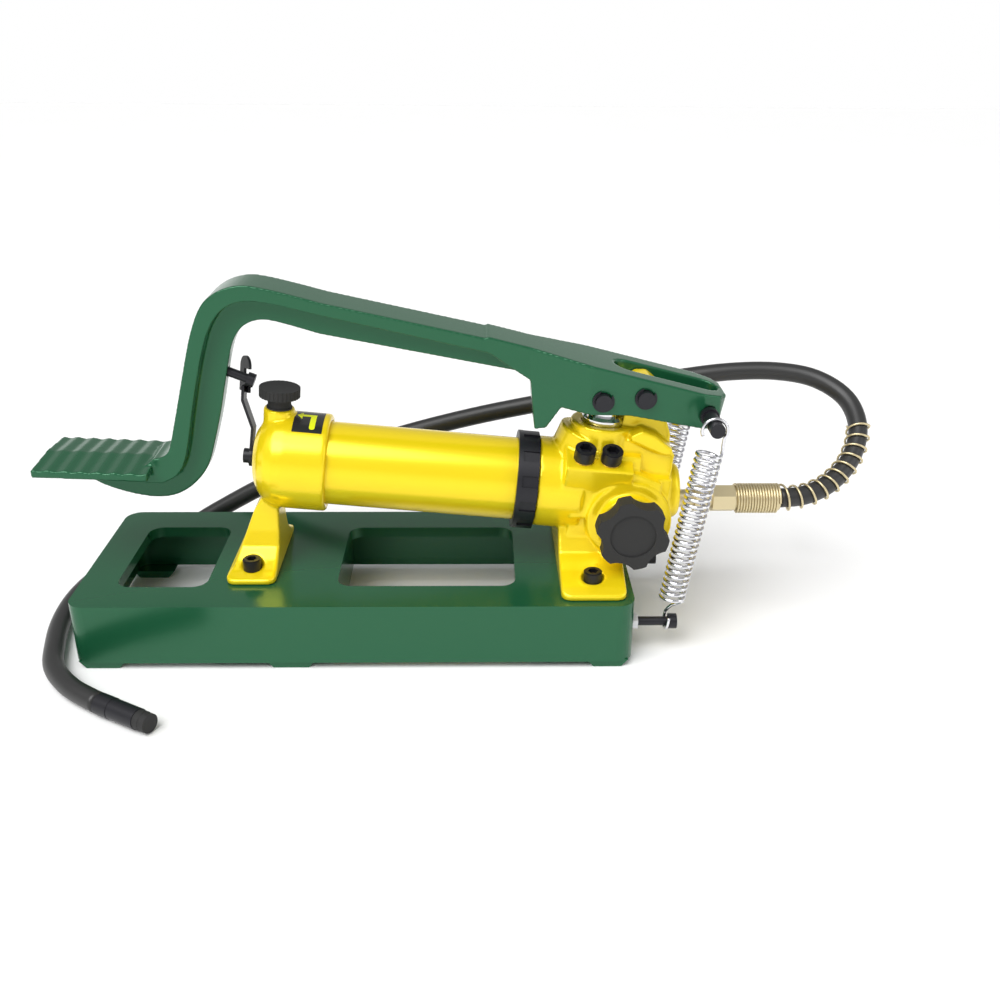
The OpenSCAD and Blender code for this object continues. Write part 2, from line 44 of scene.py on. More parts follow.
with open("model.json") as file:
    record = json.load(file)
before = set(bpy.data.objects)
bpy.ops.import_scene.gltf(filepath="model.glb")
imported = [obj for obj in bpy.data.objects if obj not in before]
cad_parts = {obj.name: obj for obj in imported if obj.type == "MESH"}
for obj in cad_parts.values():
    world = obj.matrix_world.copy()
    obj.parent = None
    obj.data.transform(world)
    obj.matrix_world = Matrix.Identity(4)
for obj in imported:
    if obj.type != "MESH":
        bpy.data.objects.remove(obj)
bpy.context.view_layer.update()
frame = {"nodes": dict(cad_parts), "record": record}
MM = 0.001

# The base's middle in the row frame, and the pump's axis over it, in millimetres.
BASE_MIDDLE = -53.3
AXIS_HEIGHT = 150.9
PUMP_PITCH = math.radians(5.3)

# The tank tube about the pump's axis, in millimetres.
TANK_INSIDE, TANK_OUTSIDE = 34.0, 36.5
TANK_START, TANK_END = -33.5, 166
TANK_SIDES = 160

# How finely a casting is skinned, in metres, and how often its corners are eased.
CAST_VOXEL = 0.0011
CAP_PASSES, HEAD_PASSES, LEVER_PASSES = 14, 12, 4

# The direction arrow, along the pump in millimetres and round it in degrees.
ARROW_RADIUS = 43.33
ARROW_NECK = -48.6
ARROW_MIDDLE = 4.0
ARROW_SPREAD = (-8.5, -4, 0, 4, 8.5)
ARROW_ROWS, ARROW_ROW_STEP, ARROW_TAPER = 7, 0.8, 6.2
SHAFT_ACROSS = (1.5, 4, 6.5)
SHAFT_ALONG = (ARROW_NECK, -45, -42, -39, -36.5)
TAIL_ALONG = (-41.3, -39, -36.5)
TAIL_TIP = [(-40.6, 29), (-39, 29.6), (-37.2, 29)]

# The return springs' ends in millimetres, the front one with y turned round.
SPRING_PIN = (300, 61, 209)
SPRING_ANCHOR = (272, 61, 27)
COIL_HALF = 70.5
COIL_STEPS = 12
RING_RADIUS, RING_LIFT = 8.5, 2.6
HOOK_RADIUS, HOOK_DROP = 10.5, 3.1

# The guard spring: wound tight over the ferrule, then open along the hose, in millimetres.
GUARD_START, GUARD_END = (337.5, 0, 118.5), (376, 0, 118.5)
GUARD_RADIUS, GUARD_TIGHT_TURNS, GUARD_TIGHT_WIRE = 12.5, 15.5, 2.4
GUARD_OPEN_RADIUS, GUARD_NARROWS, GUARD_NARROWS_BY = 12.3, 1.9, 9
GUARD_OPEN_REACH = 118

# The camera: place in millimetres from the base's middle, turns in degrees.
CAMERA_PLACE = (106, -876, 516)
CAMERA_DOWN, CAMERA_TURN, CAMERA_ROLL = 24.5, -1.3, 0.5

# The light: strengths, the sky's band over the horizon, and the area lights in metres.
FLOOR_SIZE = 6.0
HORIZON_LIGHT, SKY_LIGHT = 1.0, 0.45
HORIZON_BAND = (0.06, 0.22)
SUN_STRENGTH, SUN_SPREAD = 2.55, 50
SUN_FROM = (-0.4, -0.5, 1.0)
AREA_LIGHTS = (
    # name, place, target, width and height, power
    ("key", (-0.7, -1.0, 1.5), (0, 0, 0.1), (0.9, 0.7), 6),
    ("side", (1.4, -0.5, 0.8), (0.1, 0, 0.1), (0.6, 0.9), 3),
)

# The hose's centre line, from the ferrule to the free end, in millimetres from the base's middle.
HOSE_POINTS = [
    (378, 0, 118.5), (402, 3, 120), (427, 13, 128), (449, 31, 144), (461, 56, 165),
    (456, 84, 184), (431, 105, 197), (395, 116, 201), (350, 120, 199), (300, 121, 192),
    (240, 121, 181), (170, 121, 167), (100, 121, 152), (30, 121, 133), (-40, 122, 109),
    (-105, 123, 80), (-160, 121, 50), (-200, 114, 27), (-239, 103, 12.5), (-259, 76, 9.2),
    (-269, 45, 9.2), (-274, 10, 9.2), (-272, -30, 9.2), (-264, -68, 9.2),
    (-252, -104, 9.2), (-228, -134, 9.2), (-198, -156, 9.2),
]


# ---------------------------------------------------------------- placing

def spot(x, y, z):
    """A point given in millimetres from the middle of the base, in the row frame."""
    return Vector(((x + BASE_MIDDLE) * MM, y * MM, z * MM))


def pump_matrix():
    """The pump's own axes, in millimetres: x along the tank, z square to it."""
    return (Matrix.Translation(spot(0, 0, AXIS_HEIGHT)) @ Matrix.Rotation(PUMP_PITCH, 4, "Y")
            @ Matrix.Scale(MM, 4))


def add_mesh(name, bm, material, body, matrix=None):
    """Turn a bmesh into a smooth-shaded object on a body."""
    mesh = bpy.data.meshes.new(name)
    bmesh.ops.recalc_face_normals(bm, faces=bm.faces)
    bm.to_mesh(mesh)
    bm.free()
    for p in mesh.polygons:
        p.use_smooth = True
    obj = bpy.data.objects.new(name, mesh)
    bpy.context.collection.objects.link(obj)
    if matrix is not None:
        mesh.transform(matrix)
    mesh.materials.append(material)
    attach(obj, body)
    return obj


def apply_modifiers(obj):
    """Bake an object's modifiers into its mesh."""
    depsgraph = bpy.context.evaluated_depsgraph_get()
    baked = bpy.data.meshes.new_from_object(obj.evaluated_get(depsgraph))
    obj.modifiers.clear()
    old = obj.data
    obj.data = baked
    bpy.data.meshes.remove(old)


def keep_crisp(obj, degrees):
    """Keep the edges sharper than the angle crisp in a smooth-shaded object."""
    mesh = obj.data
    bm = bmesh.new()
    bm.from_mesh(mesh)
    for e in bm.edges:
        if len(e.link_faces) == 2:
            e.smooth = e.calc_face_angle(0.0) < math.radians(degrees)
    bm.to_mesh(mesh)
    bm.free()


def swept_tube(points, radius, sides):
    """A closed tube swept along points with a frame that doesn't twist."""
    bm = bmesh.new()
    n = len(points)
    tangents = [(points[min(i + 1, n - 1)] - points[max(i - 1, 0)]).normalized()
                for i in range(n)]
    side = tangents[0].orthogonal().normalized()
    rings = []
    for i, p in enumerate(points):
        side = (side - tangents[i] * side.dot(tangents[i])).normalized()
        over = tangents[i].cross(side)
        rings.append([
            bm.verts.new(p + radius * (math.cos(a) * side + math.sin(a) * over))
            for a in (2 * math.pi * k / sides for k in range(sides))
        ])
    for a, b in zip(rings, rings[1:]):
        for k in range(sides):
            bm.faces.new((a[k], a[(k + 1) % sides], b[(k + 1) % sides], b[k]))
    bm.faces.new(rings[0][::-1])
    bm.faces.new(rings[-1])
    return bm


def smooth_line(points, steps):
    """Points on a smooth curve through the given ones."""
    pts = [Vector(p) for p in points]
    out = []
    n = len(pts)
    for i in range(n - 1):
        p, q = pts[max(i - 1, 0)], pts[i]
        r, s = pts[i + 1], pts[min(i + 2, n - 1)]
        for k in range(steps):
            t = k / steps
            out.append(0.5 * (2 * q + (r - p) * t + (2 * p - 5 * q + 4 * r - s) * t * t
                              + (3 * q - p - 3 * r + s) * t ** 3))
    out.append(pts[-1])
    return out


def along(points, distance):
    """The point and direction at a distance along a line."""
    left = distance
    for a, b in zip(points, points[1:]):
        step = (b - a).length
        if left <= step:
            return a.lerp(b, left / step), (b - a).normalized()
        left -= step
    return points[-1].copy(), (points[-1] - points[-2]).normalized()


def wound_line(centre, radius, turns, steps=20):
    """Points wound round a centre line, with the radius given as a function of the share done."""
    length = sum((b - a).length for a, b in zip(centre, centre[1:]))
    side = Vector((0, 1, 0))
    out = []
    count = int(turns * steps)
    for i in range(count + 1):
        share = i / count
        p, direction = along(centre, share * length)
        side = (side - direction * side.dot(direction)).normalized()
        over = direction.cross(side)
        a = 2 * math.pi * turns * share
        out.append(p + radius(share) * (math.cos(a) * side + math.sin(a) * over))
    return out


def turned_ring(profile, sides):
    """A ring turned about z from the (radius, height) corners of its section."""
    bm = bmesh.new()
    rings = [[bm.verts.new((r * math.cos(a), r * math.sin(a), z))
              for a in (2 * math.pi * k / sides for k in range(sides))]
             for r, z in profile]
    for a, b in zip(rings, rings[1:] + rings[:1]):
        for k in range(sides):
            j = (k + 1) % sides
            bm.faces.new((a[k], a[j], b[j], b[k]))
    return bm


# ---------------------------------------------------------------- finishes

def new_group(name, inputs, outputs):
    """An empty shader node group with named sockets."""
    group = bpy.data.node_groups.new(name, "ShaderNodeTree")
    for label, kind, value in inputs:
        socket = group.interface.new_socket(name=label, in_out="INPUT", socket_type=kind)
        socket.default_value = value
    for label, kind in outputs:
        group.interface.new_socket(name=label, in_out="OUTPUT", socket_type=kind)
    start = group.nodes.new("NodeGroupInput")
    end = group.nodes.new("NodeGroupOutput")
    return group, start, end


def noise(tree, scale, detail, rough, vector):
    """A noise texture on the given coordinates."""
    node = tree.nodes.new("ShaderNodeTexNoise")
    node.inputs["Scale"].default_value = scale
    node.inputs["Detail"].default_value = detail
    node.inputs["Roughness"].default_value = rough
    tree.links.new(vector, node.inputs["Vector"])
    return node


def remap(tree, value, low, high, to_low=0.0, to_high=1.0):
    """Stretch a value from one range to another, held inside it."""
    node = tree.nodes.new("ShaderNodeMapRange")
    node.inputs["From Min"].default_value = low
    node.inputs["From Max"].default_value = high
    node.inputs["To Min"].default_value = to_low
    node.inputs["To Max"].default_value = to_high
    tree.links.new(value, node.inputs["Value"])
    return node.outputs["Result"]


def combine(tree, operation, a, b):
    """A Math node on two values or sockets."""
    node = tree.nodes.new("ShaderNodeMath")
    node.operation = operation
    for i, v in enumerate((a, b)):
        if isinstance(v, (int, float)):
            node.inputs[i].default_value = v
        else:
            tree.links.new(v, node.inputs[i])
    return node.outputs[0]


def blend_colours(tree, factor, a, b):
    """Mix two colours, each a socket or a tuple."""
    node = tree.nodes.new("ShaderNodeMix")
    node.data_type = "RGBA"
    tree.links.new(factor, node.inputs[0])
    for i, v in ((6, a), (7, b)):
        if isinstance(v, tuple):
            node.inputs[i].default_value = v
        else:
            tree.links.new(v, node.inputs[i])
    return node.outputs[2]


def edge_wear_and_highlight_group():
    """A patchy edge mask from the surface's own curvature: it marks rubbed paint, and in the two
    paints also a painted edge highlight.
    """
    group = bpy.data.node_groups.get("Edge Wear and Highlight")
    if group:
        return group
    group, start, end = new_group(
        "Edge Wear and Highlight",
        [("Amount", "NodeSocketFloat", 0.5), ("Patchiness", "NodeSocketFloat", 60.0)],
        [("Worn and Highlit", "NodeSocketFloat")],
    )
    geometry = group.nodes.new("ShaderNodeNewGeometry")
    edges = remap(group, geometry.outputs["Pointiness"], 0.53, 0.62)
    coords = group.nodes.new("ShaderNodeTexCoord")
    patches = noise(group, 60.0, 3.0, 0.6, coords.outputs["Object"])
    group.links.new(start.outputs["Patchiness"], patches.inputs["Scale"])
    spots = remap(group, patches.outputs["Fac"], 0.4, 0.62)
    # The patchy edges carry rubbed paint and, in the paints, a painted highlight along the edges.
    patchy = combine(group, "MULTIPLY", edges, spots)
    worn_and_highlit = combine(group, "MULTIPLY", patchy, start.outputs["Amount"])
    group.links.new(worn_and_highlit, end.inputs["Worn and Highlit"])
    return group


def sprayed_paint_group():
    """Sprayed Paint: colour drift, uneven gloss and the orange-peel height of a thick coat."""
    group = bpy.data.node_groups.get("Sprayed Paint")
    if group:
        return group
    group, start, end = new_group(
        "Sprayed Paint",
        [
            ("Colour", "NodeSocketColor", (0.5, 0.5, 0.5, 1)),
            ("Drift Colour", "NodeSocketColor", (0.4, 0.4, 0.4, 1)),
            ("Drift", "NodeSocketFloat", 0.4),
            ("Roughness", "NodeSocketFloat", 0.22),
            ("Peel", "NodeSocketFloat", 0.5),
        ],
        [("Colour", "NodeSocketColor"), ("Roughness", "NodeSocketFloat"),
         ("Height", "NodeSocketFloat")],
    )
    coords = group.nodes.new("ShaderNodeTexCoord").outputs["Object"]
    broad = noise(group, 9.0, 3.0, 0.55, coords)
    fine = noise(group, 420.0, 2.0, 0.5, coords)
    lumps = noise(group, 130.0, 2.0, 0.5, coords)
    patches = remap(group, broad.outputs["Fac"], 0.35, 0.7)
    drift = combine(group, "MULTIPLY", patches, start.outputs["Drift"])
    colour = blend_colours(group, drift, start.outputs["Colour"], start.outputs["Drift Colour"])
    group.links.new(colour, end.inputs["Colour"])
    dull = remap(group, broad.outputs["Fac"], 0.3, 0.75, -0.03, 0.09)
    roughness = combine(group, "ADD", start.outputs["Roughness"], dull)
    group.links.new(roughness, end.inputs["Roughness"])
    pits = combine(group, "MULTIPLY", fine.outputs["Fac"], 0.35)
    peel = combine(group, "ADD", pits, lumps.outputs["Fac"])
    group.links.new(combine(group, "MULTIPLY", peel, start.outputs["Peel"]), end.inputs["Height"])
    return group


def start_material(name, metallic, roughness, specular=0.5):
    """A material with a bare Principled shader."""
    material = bpy.data.materials.new(name)
    material.use_nodes = True
    shader = material.node_tree.nodes["Principled BSDF"]
    shader.inputs["Metallic"].default_value = metallic
    shader.inputs["Roughness"].default_value = roughness
    shader.inputs["Specular IOR Level"].default_value = specular
    return material, material.node_tree, shader


def put_group(tree, group, **values):
    """Place a node group and set its inputs."""
    node = tree.nodes.new("ShaderNodeGroup")
    node.node_tree = group
    for key, value in values.items():
        node.inputs[key.replace("_", " ")].default_value = value
    return node


def bump(tree, shader, height, strength, distance):
    """Send a height to the shader's normal."""
    node = tree.nodes.new("ShaderNodeBump")
    node.inputs["Strength"].default_value = strength
    node.inputs["Distance"].default_value = distance
    tree.links.new(height, node.inputs["Height"])
    tree.links.new(node.outputs["Normal"], shader.inputs["Normal"])


def cast_paint(name, colour, drift_colour, rubbed_and_highlit_edge, drift, roughness, peel, edge_wear_and_highlight):
    """Gloss paint over a casting, lighter along the edges: partly paint rubbed thin there, partly
    a painted edge highlight.
    """
    material, tree, shader = start_material(name, 0.0, roughness, 0.3)
    paint = put_group(tree, sprayed_paint_group(), Colour=colour, Drift_Colour=drift_colour,
                      Drift=drift, Roughness=roughness, Peel=peel)
    worn_and_highlit = put_group(tree, edge_wear_and_highlight_group(), Amount=edge_wear_and_highlight, Patchiness=45.0)
    # Lighter colour along the edges: rubbed paint mixed with a painted edge highlight.
    final = blend_colours(tree, worn_and_highlit.outputs["Worn and Highlit"], paint.outputs["Colour"], rubbed_and_highlit_edge)
    tree.links.new(final, shader.inputs["Base Color"])
    tree.links.new(paint.outputs["Roughness"], shader.inputs["Roughness"])
    bump(tree, shader, paint.outputs["Height"], 0.35, 0.0006)
    return material


def rubbed(name, colour, bright, roughness, metallic, scale, edge_wear_and_highlight):
    """A thin dark finish, plastic, rubber or film, with fine grain and rubbed edges."""
    material, tree, shader = start_material(name, metallic, roughness, 0.16)
    coords = tree.nodes.new("ShaderNodeTexCoord").outputs["Object"]
    grain = noise(tree, scale, 4.0, 0.6, coords)
    worn_and_highlit = put_group(tree, edge_wear_and_highlight_group(), Amount=edge_wear_and_highlight, Patchiness=90.0)
    shade = remap(tree, grain.outputs["Fac"], 0.35, 0.7, 0.0, 0.35)
    mask = combine(tree, "MAXIMUM", shade, worn_and_highlit.outputs["Worn and Highlit"])
    tree.links.new(blend_colours(tree, mask, colour, bright), shader.inputs["Base Color"])
    dull = remap(tree, grain.outputs["Fac"], 0.3, 0.7, roughness - 0.07, roughness + 0.12)
    tree.links.new(dull, shader.inputs["Roughness"])
    bump(tree, shader, grain.outputs["Fac"], 0.25, 0.0003)
    return material


def plated(name, colour, second, roughness, streak):
    """Bright plated metal: turned streaks and slight colour drift."""
    material, tree, shader = start_material(name, 1.0, roughness)
    coords = tree.nodes.new("ShaderNodeTexCoord").outputs["Object"]
    broad = noise(tree, 35.0, 3.0, 0.5, coords)
    fine = noise(tree, streak, 3.0, 0.6, coords)
    drift = remap(tree, broad.outputs["Fac"], 0.35, 0.68)
    tree.links.new(blend_colours(tree, drift, colour, second), shader.inputs["Base Color"])
    streaks = remap(tree, fine.outputs["Fac"], 0.3, 0.7, roughness * 0.7, roughness * 1.5)
    tree.links.new(streaks, shader.inputs["Roughness"])
    bump(tree, shader, fine.outputs["Fac"], 0.12, 0.0002)
    return material


RUBBED = {
    # colour, rubbed colour, roughness, metallic, grain scale, edge wear
    "black_oxide": ((0.008, 0.008, 0.009, 1), (0.06, 0.058, 0.055, 1), 0.36, 0.4, 220.0, 0.5),
    "black_plastic": ((0.011, 0.011, 0.012, 1), (0.03, 0.03, 0.031, 1), 0.5, 0.0, 500.0, 0.6),
    "seal_rubber": ((0.012, 0.012, 0.012, 1), (0.03, 0.03, 0.03, 1), 0.6, 0.0, 300.0, 0.2),
    "hose_rubber": ((0.0085, 0.0085, 0.009, 1), (0.022, 0.022, 0.023, 1), 0.38, 0.0, 160.0, 0.2),
    "label_film": ((0.01, 0.01, 0.01, 1), (0.02, 0.02, 0.02, 1), 0.3, 0.0, 80.0, 0.1),
    "label_yellow": ((0.66, 0.72, 0.01, 1), (0.6, 0.66, 0.03, 1), 0.3, 0.0, 80.0, 0.1),
}
PLATED = {
    # colour, second colour, roughness, streak scale
    "chrome_steel": ((0.62, 0.61, 0.60, 1), (0.40, 0.39, 0.38, 1), 0.12, 260.0),
    "spring_wire": ((0.42, 0.42, 0.42, 1), (0.20, 0.20, 0.20, 1), 0.14, 300.0),
    "zinc_steel": ((0.52, 0.54, 0.56, 1), (0.40, 0.42, 0.45, 1), 0.3, 200.0),
    "yellow_zinc": ((0.50, 0.40, 0.20, 1), (0.34, 0.30, 0.19, 1), 0.2, 220.0),
    "brass_mesh": ((0.62, 0.46, 0.2, 1), (0.5, 0.38, 0.18, 1), 0.35, 500.0),
}


def finish(name):
    """The finish of that name, made the first time it is asked for."""
    found = bpy.data.materials.get(name)
    if found:
        return found
    look = bpy.context.scene.foot_pump_finishes
    if name == "green_paint":
        colour = tuple(look.green_paint)
        drifted = (colour[0] * 2.2 + 0.004, colour[1] * 1.35, colour[2] * 1.6, 1)
        # The light green on the edges is a painted edge highlight, mixed with rubbed paint.
        return cast_paint(name, colour, drifted, (0.06, 0.30, 0.15, 1),
                          drift=0.55, roughness=0.34, peel=0.8, edge_wear_and_highlight=0.75)
    if name == "yellow_paint":
        colour = tuple(look.yellow_paint)
        drifted = (colour[0] * 0.96, colour[1] * 0.80, colour[2], 1)
        # The paler yellow on the edges is a painted edge highlight, mixed with rubbed paint.
        return cast_paint(name, colour, drifted, (0.98, 0.84, 0.08, 1),
                          drift=0.35, roughness=0.28, peel=0.7, edge_wear_and_highlight=0.3)
    if name in RUBBED:
        return rubbed(name, *RUBBED[name])
    if name in PLATED:
        return plated(name, *PLATED[name])
    raise RuntimeError(f"there is no finish named {name}")


def dress(node, material, bevel=0.0, segments=2, angle=35):
    """Give a CAD node its finish, and round its edges a little."""
    obj = frame["nodes"][node]
    obj.data.materials.clear()
    obj.data.materials.append(finish(material))
    if bevel:
        edge = obj.modifiers.new("Edge radius", "BEVEL")
        edge.width = bevel
        edge.segments = segments
        edge.limit_method = "ANGLE"
        edge.angle_limit = math.radians(angle)
        edge.harden_normals = False
    return obj


def soft_casting(name, node, material, passes):
    """A casting with blended corners, made from a node's solid."""
    source = frame["nodes"][node]
    mesh = source.data.copy()
    mesh.name = name
    mesh.materials.clear()
    mesh.materials.append(finish(material))
    obj = bpy.data.objects.new(name, mesh)
    bpy.context.collection.objects.link(obj)
    remesh = obj.modifiers.new("Cast skin", "REMESH")
    remesh.mode = "VOXEL"
    remesh.voxel_size = CAST_VOXEL
    remesh.use_smooth_shade = True
    relax = obj.modifiers.new("Cast corners", "SMOOTH")
    relax.factor = 0.5
    relax.iterations = passes
    apply_modifiers(obj)
    bodies = frame["record"]["behaviour"]["bodies"]
    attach(obj, next(body for body, nodes in bodies.items() if node in nodes))
    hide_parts(node)


# ---------------------------------------------------------------- settings

class FootPumpFinishes(bpy.types.PropertyGroup):
    """Colours of the two paints."""

    green_paint: bpy.props.FloatVectorProperty(
        name="Green paint", description="Colour of the base and the lever",
        default=(0.0005, 0.038, 0.0115, 1.0), size=4, min=0.0, max=1.0, subtype="COLOR")
    yellow_paint: bpy.props.FloatVectorProperty(
        name="Yellow paint", description="Colour of the tank and the pump head",
        default=(0.97, 0.78, 0.0006, 1.0), size=4, min=0.0, max=1.0, subtype="COLOR")


class FootPumpSizes(bpy.types.PropertyGroup):
    """Sizes of the pieces that are modelled here."""

    hose_diameter: bpy.props.FloatProperty(
        name="Hose diameter", description="Outside diameter of the hose",
        default=0.0174, min=0.015, max=0.02, subtype="DISTANCE", unit="LENGTH")
    spring_diameter: bpy.props.FloatProperty(
        name="Spring diameter", description="Outside diameter of the return springs",
        default=0.0235, min=0.02, max=0.024, subtype="DISTANCE", unit="LENGTH")
    spring_wire: bpy.props.FloatProperty(
        name="Spring wire", description="Wire diameter of the return springs",
        default=0.003, min=0.002, max=0.0032, subtype="DISTANCE", unit="LENGTH")
    spring_turns: bpy.props.IntProperty(
        name="Spring turns", description="Number of turns in each return spring",
        default=25, min=20, max=36)
    guard_wire: bpy.props.FloatProperty(
        name="Guard wire", description="Wire diameter of the hose's guard spring",
        default=0.0021, min=0.0015, max=0.003, subtype="DISTANCE", unit="LENGTH")
    guard_turns: bpy.props.IntProperty(
        name="Guard turns", description="Number of open turns of the guard spring along the hose",
        default=11, min=6, max=16)


class FootPumpStage(bpy.types.PropertyGroup):
    """Floor, camera and light."""

    light_strength: bpy.props.FloatProperty(
        name="Light", description="Strength of the studio lights", default=1.0, min=0.1, max=5.0)
    lens: bpy.props.FloatProperty(
        name="Lens", description="Focal length of the camera, in millimetres",
        default=38.56, min=20.0, max=120.0)
    floor_colour: bpy.props.FloatVectorProperty(
        name="Floor colour", description="Colour of the floor",
        default=(0.94, 0.94, 0.94, 1.0), size=4, min=0.0, max=1.0, subtype="COLOR")


# ---------------------------------------------------------------- pieces

class FOOTPUMP_OT_hose(bpy.types.Operator):
    """Lay the hose, with its coupler and its cap"""

    bl_idname = "footpump.hose"
    bl_label = "Hose"

    def execute(self, context):
        sizes = context.scene.foot_pump_sizes
        line = smooth_line([spot(*p) for p in HOSE_POINTS], 6)
        bm = swept_tube(line, sizes.hose_diameter / 2, 28)
        hose = add_mesh("hose_tube", bm, finish("hose_rubber"), "pump")
        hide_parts("hose")
        guard_line = [p for p in line if (p - line[0]).length < GUARD_OPEN_REACH * MM]
        loose = wound_line(
            guard_line,
            lambda t: (GUARD_OPEN_RADIUS - GUARD_NARROWS * min(1.0, t * GUARD_NARROWS_BY)) * MM,
            sizes.guard_turns)
        guard = add_mesh("guard_spring_open", swept_tube(loose, sizes.guard_wire / 2, 10),
                         finish("yellow_zinc"), "pump")
        body = dress("coupler_body", "black_oxide", 0.0008, 3, 30)
        cap = dress("coupler_cap", "black_plastic", 0.0012, 3, 30)
        return {"FINISHED"}


class FOOTPUMP_OT_base(bpy.types.Operator):
    """Cast base"""

    bl_idname = "footpump.base"
    bl_label = "Base"

    def execute(self, context):
        dress("base_frame", "green_paint", 0.0018, 3, 40)
        return {"FINISHED"}


class FOOTPUMP_OT_tank(bpy.types.Operator):
    """Oil tank: tube, rear cap casting, clamp ring, tie bolt and what is inside"""

    bl_idname = "footpump.tank"
    bl_label = "Tank"

    def execute(self, context):
        section = [(TANK_INSIDE, TANK_START), (TANK_OUTSIDE, TANK_START),
                   (TANK_OUTSIDE, TANK_END), (TANK_INSIDE, TANK_END)]
        tube = add_mesh("tank_skin", turned_ring(section, TANK_SIDES), finish("yellow_paint"),
                        "pump", pump_matrix() @ Matrix.Rotation(math.pi / 2, 4, "Y"))
        keep_crisp(tube, 30)
        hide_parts("tank_tube")
        soft_casting("end_cap_casting", "tank_end_cap", "yellow_paint", CAP_PASSES)
        dress("clamp_ring", "black_oxide", 0.0006, 2, 30)
        dress("tie_bolt", "black_oxide", 0.0006, 2, 40)
        dress("tank_seals", "seal_rubber")
        dress("suction_tube", "zinc_steel")
        dress("suction_filter", "brass_mesh")
        return {"FINISHED"}


class FOOTPUMP_OT_head(bpy.types.Operator):
    """Pump head casting with its plunger and gland"""

    bl_idname = "footpump.head"
    bl_label = "Pump head"

    def execute(self, context):
        soft_casting("head_casting", "pump_head", "yellow_paint", HEAD_PASSES)
        dress("gland_ring", "chrome_steel", 0.0006)
        dress("gland_seal", "seal_rubber")
        dress("plunger", "chrome_steel", 0.0006)
        dress("plunger_ring", "zinc_steel")
        return {"FINISHED"}


class FOOTPUMP_OT_valves(bpy.types.Operator):
    """Valve plugs, balls and springs, and the release valve's stem"""

    bl_idname = "footpump.valves"
    bl_label = "Valves"

    def execute(self, context):
        dress("valve_plugs", "black_oxide", 0.0005)
        dress("plug_seals", "brass_mesh")
        for side in ("intake", "delivery"):
            dress(side + "_ball", "chrome_steel")
            dress(side + "_spring", "spring_wire")
        dress("release_stem", "zinc_steel")
        dress("release_seal", "seal_rubber")
        return {"FINISHED"}


class FOOTPUMP_OT_controls(bpy.types.Operator):
    """Release knob and filler cap"""

    bl_idname = "footpump.controls"
    bl_label = "Knob and filler cap"

    def execute(self, context):
        dress("release_knob", "black_plastic", 0.001)
        dress("filler_cap", "black_plastic", 0.0006)
        dress("filler_seal", "seal_rubber")
        return {"FINISHED"}


class FOOTPUMP_OT_outlet(bpy.types.Operator):
    """Outlet fitting and hose ferrule"""

    bl_idname = "footpump.outlet"
    bl_label = "Outlet"

    def execute(self, context):
        dress("outlet_fitting", "yellow_zinc", 0.0006)
        dress("hose_ferrule", "yellow_zinc", 0.0006)
        return {"FINISHED"}


class FOOTPUMP_OT_label(bpy.types.Operator):
    """Direction label with its bent arrow"""

    bl_idname = "footpump.label"
    bl_label = "Label"

    def execute(self, context):
        dress("direction_label", "label_film")
        bm = bmesh.new()

        def band(rows):
            """Faces between rows of points, each a place along the pump and an angle round it."""
            lines = [[bm.verts.new((along_pump, -ARROW_RADIUS * math.sin(math.radians(degrees)),
                                    ARROW_RADIUS * math.cos(math.radians(degrees))))
                      for along_pump, degrees in row] for row in rows]
            for first, second in zip(lines, lines[1:]):
                for k in range(len(first) - 1):
                    bm.faces.new((first[k], first[k + 1], second[k + 1], second[k]))

        band([[(ARROW_NECK - ARROW_ROW_STEP * k, ARROW_MIDDLE + (1 - k / ARROW_TAPER) * t)
               for t in ARROW_SPREAD] for k in range(ARROW_ROWS)])
        band([[(u, d) for d in SHAFT_ACROSS] for u in SHAFT_ALONG])
        band([[(u, d) for u in TAIL_ALONG] for d in range(6, 30, 3)] + [TAIL_TIP])
        add_mesh("label_arrow", bm, finish("label_yellow"), "pump", matrix=pump_matrix())
        return {"FINISHED"}


class FOOTPUMP_OT_lever(bpy.types.Operator):
    """Cast lever with its pins, clips and latch"""

    bl_idname = "footpump.lever"
    bl_label = "Lever"

    def execute(self, context):
        soft_casting("lever_casting", "lever", "green_paint", LEVER_PASSES)
        for node in ("fulcrum_pin", "plunger_pin", "spring_pin", "pin_clips",
                     "latch_stud", "latch_hook"):
            dress(node, "black_oxide", 0.0005)
        return {"FINISHED"}


